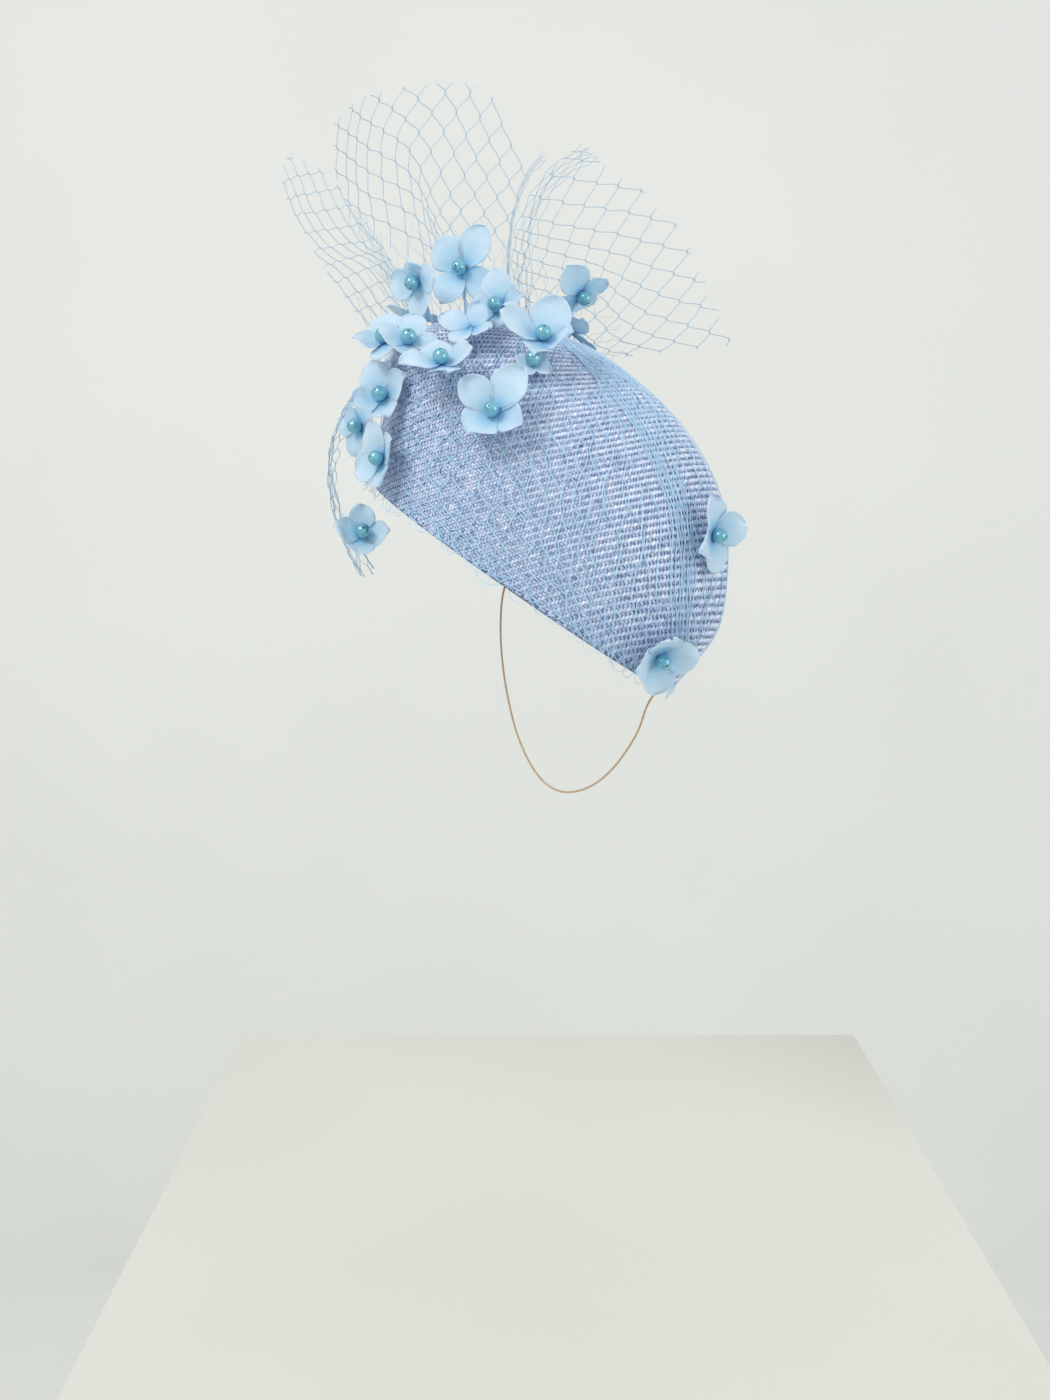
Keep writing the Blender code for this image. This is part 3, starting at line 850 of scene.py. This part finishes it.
def add_seen(strands, places, radius):
    """A strand through the places that were found, cut where one is missing."""
    run = []
    for place in places:
        if place is None or (run and (place - run[-1]).length > STRAND_LEAP):
            strands.add(run, radius)
            run = []
        if place is not None:
            run.append(place)
    strands.add(run, radius)


def crown_threads():
    """Where each thread runs among the tracks, with its share of the spacing."""
    threads = []
    for index, (count, *_) in enumerate(CROWN_TRACKS):
        for step in range(count):
            threads.append((index + step / count, 1 / count))
    return threads + [(len(CROWN_TRACKS) - 1.0, 0.2)]


def make_crown_net(tree, material):
    """Veiling stretched over the crown, gathered under the top cluster."""
    strands = Strands(4)
    tracks = np.array([row[1:] for row in CROWN_TRACKS], float)
    last_track, last_spot = len(tracks) - 1, tracks.shape[1] - 1

    def spot(place, fall):
        place = min(max(place, 0.0), last_track)
        return smooth_rows(smooth_rows(tracks, place), min(max(fall, 0.0), 1.0) * last_spot)

    for index, (place, spacing) in enumerate(crown_threads()):
        dense = 1.0 if spacing < CLOSE_SPACING else LOOSE_SHARE
        lift = THREAD_LIFT + LAYER_LIFT * (index % LAYERS)
        run = []
        for step in range(THREAD_STEPS + 1):
            fall = step / THREAD_STEPS
            wave = math.sin(math.pi * (fall * THREAD_WAVES + index % 2))
            wander = noise.noise(Vector((index * 0.37, fall * 3.5, 0.5)))
            sway = dense * spacing * THREAD_SWAY * wave
            sway += spacing * THREAD_WANDER * dense * wander
            run.append(seen_at(tree, spot(place + sway, fall), lift))
        add_seen(strands, run, THREAD_RADIUS)
    for index in range(CROSS_THREADS):
        level = CROSS_LEVELS[0] + CROSS_LEVELS[1] * index / (CROSS_THREADS - 1)
        run = []
        for step in range(CROSS_STEPS + 1):
            place = last_track * step / CROSS_STEPS
            sag = CROSS_SAG * noise.noise(Vector((index * 1.7, place * 0.9, 4.5)))
            sag += CROSS_SCALLOP * math.cos(2 * math.pi * place * CROSS_WAVES)
            run.append(seen_at(tree, spot(place, level + sag), CROSS_LIFT))
        add_seen(strands, run, THREAD_RADIUS * FINE_SHARE)
    add_back_threads(strands, tree)
    add_rim_loops(strands)
    return strands.build("crown_net", material)


def add_back_threads(strands, tree):
    """Threads on the side away from the camera, from the gather down to the rim."""
    gather = turn @ crown_point(*BACK_GATHER)
    start_way = (gather - middle).normalized()
    for line in range(BACK_THREADS):
        around = BACK_START + BACK_SPAN * line / (BACK_THREADS - 1)
        end_way = (turn @ crown_point(around, BACK_RING) - middle).normalized()
        sideways = start_way.cross(end_way).normalized()
        run = []
        for step in range(BACK_STEPS + 1):
            fall = step / BACK_STEPS
            swing = BACK_SWAY * math.sin(math.pi * (fall * BACK_WAVES + line % 2))
            swing += BACK_WANDER * noise.noise(Vector((line * 0.41, fall * 2.7, 7.5)))
            aside = sideways * swing * min(fall * BACK_OPENING, 1)
            way = start_way.slerp(end_way, fall) + aside
            hit, normal, _, _ = tree.ray_cast(middle, way.normalized())
            if hit is not None:
                lift = math.copysign(CROSS_LIFT + LAYER_LIFT * (line % LAYERS), normal.dot(way))
                run.append(hit + normal * lift)
        strands.add(run, THREAD_RADIUS)


def add_rim_loops(strands):
    """Loose loops of thread that hang a few millimetres past the rim."""
    for index in range(RIM_LOOPS):
        around = 360 * index / RIM_LOOPS + random.uniform(*LOOP_SHIFT)
        width = random.uniform(*LOOP_WIDTH)
        drop = random.uniform(*LOOP_DROP) * random.choice(LOOP_LONGER)
        lean = random.uniform(*LOOP_LEAN)
        run = []
        for step in range(LOOP_STEPS + 1):
            share = step / LOOP_STEPS
            bow = math.sin(math.pi * share**lean)
            tangle = noise.noise_vector(Vector((index * 1.3, share * 3.5, 2.2)))
            angle = around + width * (share - 0.5)
            off = crown_normal(angle, LOOP_RING) * (CROSS_LIFT + LOOP_STAND * bow)
            rim = crown_point(angle, LOOP_RING) + off
            fallen = Vector((0, 0, (drop + LOOP_HANG) * bow))
            run.append(turn @ (rim + tangle * LOOP_TANGLE * bow - fallen))
        strands.add(run, THREAD_RADIUS * LOOP_SHARE)


# Upstanding net

def knot_pixel(name, first, second):
    """Pixel of a place among the knots, numbered along the strands' two ways."""
    knots = np.array(NET_KNOTS[name], float)
    first_step, second_step, _ = NET_STEPS[name]
    rows = np.array([smooth_rows(row, second / second_step) for row in knots])
    return smooth_rows(rows, first / first_step)


def fan_tree(name):
    """The sheet that a piece of net lies on, for finding places on it."""
    steps = SHEET_STEPS
    points = [
        turn @ net_point(NET_RIBS[name], i / steps, SHEET_SPARE * j / steps)
        for i in range(steps + 1) for j in range(steps + 1)
    ]
    faces = []
    for i in range(steps):
        for j in range(steps):
            corner = i * (steps + 1) + j
            faces.append((corner, corner + 1, corner + steps + 2, corner + steps + 1))
    return BVHTree.FromPolygons(points, faces)


def add_net(strands, place, firsts, seconds, joint):
    """Strands that swerve together into short doubled joints and part again."""
    for i in firsts:
        for j in seconds:
            for side in (-JOINT_PARTING, JOINT_PARTING):
                run = []
                for share in (-1.0, -0.5, 0.0, 0.5, 1.0):
                    apart = side * (1 - share**2)
                    run.append(place(i + joint * share + apart, j + joint * share - apart))
                add_seen(strands, run, STRAND_RADIUS)
            for ahead in ((1, 0), (0, 1)):
                start = np.array((i + joint, j + joint))
                end = np.array((i + ahead[0] - joint, j + ahead[1] - joint))
                pull = np.array((JOINT_PULL * joint, JOINT_PULL * joint))
                run = []
                for step in range(STRAND_STEPS + 1):
                    share = step / STRAND_STEPS
                    rest = 1 - share
                    spot = (
                        rest**3 * start + 3 * rest**2 * share * (start + pull)
                        + 3 * rest * share**2 * (end - pull) + share**3 * end
                    )
                    run.append(place(*spot))
                add_seen(strands, run, STRAND_RADIUS)


def make_fan(name, material):
    """Stiff net whose knots show where the photograph has them."""
    strands = Strands(4)
    if name in NET_KNOTS:
        tree = fan_tree(name)
        knots = NET_KNOTS[name]
        first_step, second_step, spare = NET_STEPS[name]

        def place(first, second):
            wander = noise.noise_vector(Vector((first * 0.8, second * 0.8, len(name))))
            wander *= KNOT_WANDER
            spot = knot_pixel(name, first, second)
            return seen_at(tree, (spot[0] + wander.x, spot[1] + wander.y))

        firsts = range(-spare, (len(knots) - 1) * first_step + spare)
        seconds = range(-spare, (len(knots[0]) - 1) * second_step + spare)
        add_net(strands, place, firsts, seconds, NET_JOINT)
    else:
        ribs = NET_RIBS[name]

        def place(first, second):
            across = (first - second) / 2 / VEIL_CELLS[0] + 0.5
            along = (first + second) / 2 / VEIL_CELLS[1]
            if not (0 <= across <= 1 and 0 <= along <= VEIL_SPARE):
                return None
            wander = noise.noise_vector(Vector((first, second, 3.0))) * VEIL_WANDER
            return turn @ (net_point(ribs, across, along) + wander)

        reach = sum(VEIL_CELLS)
        add_net(strands, place, range(-reach, reach), range(-reach, reach), 2 * NET_JOINT)
    for index, (net, *extent) in enumerate(NET_FOLDS):
        if net == name:
            add_fold(strands, name, extent, index)
    return strands.build(name + "_strands", material)


def add_fold(strands, name, extent, seed):
    """Strands drawn close together, where the net is gathered or turned over."""
    left, right, low, high, count = extent
    for line in range(count):
        middle_across = left + (right - left) * (line + 0.5) / count
        spread = (right - left) / count
        top = high
        if high < 1:
            top = high - (high - low) * random.uniform(0.0, FOLD_RAGGEDNESS)
        run = []
        for step in range(FOLD_STEPS + 1):
            along = low + (top - low) * step / FOLD_STEPS
            sway = math.sin(math.pi * (along * FOLD_WAVES + line % 2)) * FOLD_SWAY
            sway += noise.noise(Vector((line * 0.7, along * 4, seed)))
            across = min(max(middle_across + sway * spread, 0.0), 1.0)
            run.append(turn @ net_point(NET_RIBS[name], across, along))
        strands.add(run, STRAND_RADIUS * FINE_SHARE, FOLD_TAPER if high < 1 else 1.0)


# Blossoms and pearls

def petal_half_width(share):
    """Half width at a share of the length: drawn in at the hub, round at the tip."""
    if share < PETAL_WIDEST:
        return PETAL_NECK + (1 - PETAL_NECK) * math.sin(math.pi / 2 * share / PETAL_WIDEST)
    return math.sqrt(max(1 - ((share - PETAL_WIDEST) / (1 - PETAL_WIDEST)) ** 2, 0.0))


def make_blossom(row, material):
    """Four ruffled die-cut petals about a hub, with a stem to what carries it."""
    name, _, _, _, face_around, face_up, roll, span, lifts, _ = row
    axes = aim(face_around, face_up, roll)
    foot, out, centre = blossom_seat(row, axes)
    rng = random.Random(name)
    points, faces, spots = [], [], []
    half_span = BLOSSOM_SPAN * span / 2
    shapes = PETAL_SHAPES.get(name, (PETAL_SHAPE,) * 4)
    turns = PETAL_TURNS.get(name, (0,) * 4)
    steps, sides = PETAL_STEPS, PETAL_SIDES
    for petal, lift in enumerate(lifts):
        axis = petal * math.pi / 2 + math.radians(turns[petal]) + rng.uniform(*AXIS_RANGE)
        forward = Vector((math.cos(axis), math.sin(axis), 0.0))
        sideways = Vector((-math.sin(axis), math.cos(axis), 0.0))
        long = half_span * shapes[petal][0] * rng.uniform(*LENGTH_RANGE)
        wide = half_span * shapes[petal][1] * rng.uniform(*WIDTH_RANGE)
        cup, twist = rng.uniform(*CUP_RANGE), rng.uniform(*TWIST_RANGE)
        wave, phase = rng.uniform(*WAVE_RANGE) * WAVE_HEIGHT * span, rng.uniform(*PHASE_RANGE)
        curl = rng.uniform(*CURL_RANGE) * span
        start = len(points)
        for i in range(steps + 1):
            share = PETAL_END * math.sin(math.pi / 2 * i / steps)
            half = wide * petal_half_width(share)
            for j in range(sides + 1):
                across = 2 * j / sides - 1
                patch = noise.noise(Vector((share * 2, across * 1.5, petal + phase)))
                uneven = 1 + EDGE_UNEVENNESS * patch
                rounded = 1 - EDGE_DRAW_IN * (across * half / wide) ** 2
                reach = long * (PETAL_START + (1 - PETAL_START) * share * rounded) * uneven
                side = half * across * uneven
                bent, rise, slope = bend_petal(reach, lift)
                ruffle = wave * share**2 * math.sin(2.4 * across + 3.0 * share + phase)
                crumple = noise.noise(Vector((reach, side, petal * 0.01)) * CRUMPLE_SCALE)
                ruffle += CRUMPLE_HEIGHT * share * crumple
                ruffle += cup * half * across**2 + twist * side * share + curl * share**3
                normal = Vector((0, 0, math.cos(slope))) - forward * math.sin(slope)
                place = forward * bent + sideways * side + Vector((0, 0, rise)) + normal * ruffle
                points.append(place + Vector((0, 0, PETAL_STACKING * petal)))
                spots.append((math.hypot(reach, side) / half_span, across * 0.5 + petal))
        for i in range(steps):
            for j in range(sides):
                corner = start + i * (sides + 1) + j
                faces.append((corner, corner + 1, corner + sides + 2, corner + sides + 1))
    blossom = add_mesh("petals_" + name, points, faces, material)
    layer = blossom.data.uv_layers.new(name="UVMap")
    for loop in blossom.data.loops:
        layer.data[loop.index].uv = spots[loop.vertex_index]
    wall = blossom.modifiers.new("cloth", "SOLIDIFY")
    wall.thickness = CLOTH_THICKNESS
    wall.offset = -1.0
    place = turn.to_4x4() @ Matrix.Translation(centre) @ axes.to_4x4()
    blossom.matrix_world = place
    strands = Strands(STALK_SIDES)
    end = axes.transposed() @ (foot - centre)
    way = axes.transposed() @ out
    strands.add((
        Vector((0, 0, STALK_TOP)), Vector((0, 0, -STALK_NECK)),
        end * 0.5 - Vector((0, 0, STALK_SAG)), end + way * STALK_BITE,
    ), STALK_RADIUS, STALK_TAPER)
    stalk = strands.build("stalk_" + name, material)
    layer = stalk.data.uv_layers.new(name="UVMap")
    for loop in stalk.data.loops:
        layer.data[loop.index].uv = STALK_SHADE
    stalk.matrix_world = place
    return blossom, stalk


def make_bead(row, material, hole):
    """A round pearl with its drill hole facing out, the hole's walls and floor near-black with painted
    shade.
    """
    name, _, _, _, face_around, face_up, roll = row[:7]
    axes = aim(face_around, face_up, roll)
    radius, bore = PEARL_DIAMETER / 2, BORE_RADIUS
    _, _, centre = blossom_seat(row, axes)
    floor, mouth = radius * BORE_FLOOR, radius * BORE_MOUTH
    profile = [(0.0, floor), (bore, floor), (bore, mouth)]
    first = math.asin((bore + BORE_EDGE) / radius)
    for step in range(BEAD_RINGS):
        angle = first + (math.pi - first) * step / (BEAD_RINGS - 1)
        profile.append((radius * math.sin(angle), radius * math.cos(angle)))
    points, faces, around = [], [], BEAD_SIDES
    for reach, height in profile:
        for index in range(around):
            angle = 2 * math.pi * index / around
            points.append((reach * math.cos(angle), reach * math.sin(angle), height))
    for row_index in range(len(profile) - 1):
        for index in range(around):
            after = (index + 1) % around
            low, high = row_index * around, (row_index + 1) * around
            faces.append((high + index, high + after, low + after, low + index))
    bead = add_mesh("bead_" + name, points, faces, material)
    bead.data.materials.append(hole)
    for polygon in bead.data.polygons[:2 * around]:
        polygon.material_index = 1
    spot = centre + axes.col[2] * (radius + PIECE_GAP)
    bead.matrix_world = turn.to_4x4() @ Matrix.Translation(spot) @ axes.to_4x4()
    return bead


# Elastic

def make_elastic(material):
    inset = STRAW_WALL + PIECE_GAP + ELASTIC_DIAMETER * 0.75

    def sewn(around, ring):
        return turn @ (crown_point(around, ring) - crown_normal(around, ring) * inset)

    hanging = np.array(ELASTIC_ROUTE) * (RIM_LENGTH / 2, RIM_WIDTH / 2, ELASTIC_DROP)
    route = np.array([sewn(*ELASTIC_NEAR_END), *hanging, sewn(*ELASTIC_FAR_END)])
    curve = bpy.data.curves.new("elastic_cord", "CURVE")
    curve.dimensions = "3D"
    curve.bevel_depth = ELASTIC_DIAMETER / 2
    curve.bevel_resolution = 3
    curve.use_fill_caps = True
    line = curve.splines.new("POLY")
    line.points.add(ELASTIC_POINTS - 1)
    places = []
    for index, point in enumerate(line.points):
        place = smooth_rows(route, index / (ELASTIC_POINTS - 1) * (len(route) - 1))
        point.co = (*place, 1.0)
        places.append(Vector(place))
    curve.materials.append(material)
    cord = bpy.data.objects.new("elastic_cord", curve)
    bpy.context.scene.collection.objects.link(cord)
    length = sum((b - a).length for a, b in zip(places, places[1:]))
    return cord, places[0], length


def carry(piece, slot, *nodes):
    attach(piece, "root")
    if nodes:
        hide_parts(*nodes)


# Stage

def make_stage():
    floor_material, tree, shader = new_material("stage_floor", {"Roughness": 0.8})
    cloud = stretched_noise(tree, 3.0, (1, 1, 1), "Object", 2.0)
    tree.links.new(ramp(tree, cloud, (
        (0.3, (0.66, 0.66, 0.605)), (0.7, (0.70, 0.70, 0.645)),
    )), shader.inputs["Base Color"])
    wall_material, tree, shader = new_material("stage_wall", {"Roughness": 0.9})
    cloud = stretched_noise(tree, 2.0, (1, 1, 1), "Object", 2.0)
    tree.links.new(ramp(tree, cloud, (
        (0.3, (0.77, 0.785, 0.755)), (0.7, (0.80, 0.815, 0.785)),
    )), shader.inputs["Base Color"])

    def sheet(name, corners, material):
        item = add_mesh(name, corners, [(0, 1, 2, 3)], material, False)

    sheet("floor", [
        side_way * x + deep_way * y + up_way * FLOOR_LEVEL for x, y in FLOOR_CORNERS
    ], floor_material)
    sheet("ground", [
        side_way * x + deep_way * y + up_way * (FLOOR_LEVEL - GROUND_DROP)
        for x, y in GROUND_CORNERS
    ], wall_material)
    sheet("backdrop", [
        side_way * x + deep_way * BACKDROP_DEPTH + up_way * z for x, z in BACKDROP_CORNERS
    ], wall_material)


def make_lights():
    world = bpy.data.worlds.new("studio")
    world.use_nodes = True
    shade = world.node_tree.nodes["Background"]
    shade.inputs["Color"].default_value = SKY_COLOUR
    shade.inputs["Strength"].default_value = SKY_STRENGTH
    bpy.context.scene.world = world

    def area(name, place, size, power, colour):
        light = bpy.data.lights.new(name, "AREA")
        light.shape = "DISK"
        light.size = size
        light.energy = power
        light.color = colour
        item = bpy.data.objects.new(name, light)
        item.location = place
        item.rotation_euler = (middle - place).to_track_quat("-Z", "Y").to_euler()
        bpy.context.scene.collection.objects.link(item)

    area("key", -side_way * 1.0 - deep_way * 1.1 + up_way * 1.3, 0.7, 18, (1.0, 0.98, 0.95))
    area("fill", side_way * 1.4 - deep_way * 0.9 + up_way * 0.2, 1.2, 7, (0.97, 0.98, 1.0))


def make_camera():
    place, _, _ = camera_axes()
    data = bpy.data.cameras.new("camera")
    data.lens = FILM_WIDTH
    data.sensor_width = FILM_WIDTH
    data.sensor_fit = "AUTO"
    data.clip_start = CLIP_START
    camera = bpy.data.objects.new("camera", data)
    camera.location = place
    camera.rotation_euler = (math.pi / 2 - CAMERA_DOWN, 0.0, HAT_TURN)
    bpy.context.scene.collection.objects.link(camera)
    bpy.context.scene.camera = camera


def main():
    bpy.context.scene.view_settings.view_transform = "Standard"
    make_camera()
    make_stage()
    make_lights()
    elastic_material = make_thread("elastic_thread", (0.40, 0.27, 0.15), (0.62, 0.46, 0.29), 0.7)
    cord, exit_place, length = make_elastic(elastic_material)
    carry(cord, "elastic", "hat_elastic")
    tuple(exit_place)
    shell, tree = make_shell()
    carry(shell, "straw", "crown")
    straw = make_straw()
    carry(make_weave("crown_weave_low", tree, straw, 0.0, WEAVE_SPLIT), "straw")
    carry(make_weave("crown_weave_high", tree, straw, WEAVE_SPLIT, 1.0), "straw")
    net_material = make_thread("net_thread", (0.29, 0.45, 0.60), (0.42, 0.59, 0.73))
    veiling = make_thread("veiling_thread", (0.40, 0.65, 0.88), (0.54, 0.78, 0.95))
    carry(make_crown_net(tree, veiling), "net")
    for name in NET_RIBS:
        carry(make_fan(name, net_material), "net", name)
    cloth, pearl = make_cloth(), make_pearl()
    # near-black inside of the drill hole: painted shade in the bore
    hole = make_thread("pearl_bore_painted_shade", (0.01, 0.03, 0.05), (0.02, 0.06, 0.08))
    for row in BLOSSOMS:
        petals, stalk = make_blossom(row, cloth)
        carry(petals, "blossom_cloth", "blossom_" + row[0])
        carry(stalk, "blossom_cloth")
        if row[-1]:
            carry(make_bead(row, pearl, hole), "pearl", "pearl_" + row[0])


main()
bpy.context.view_layer.update()
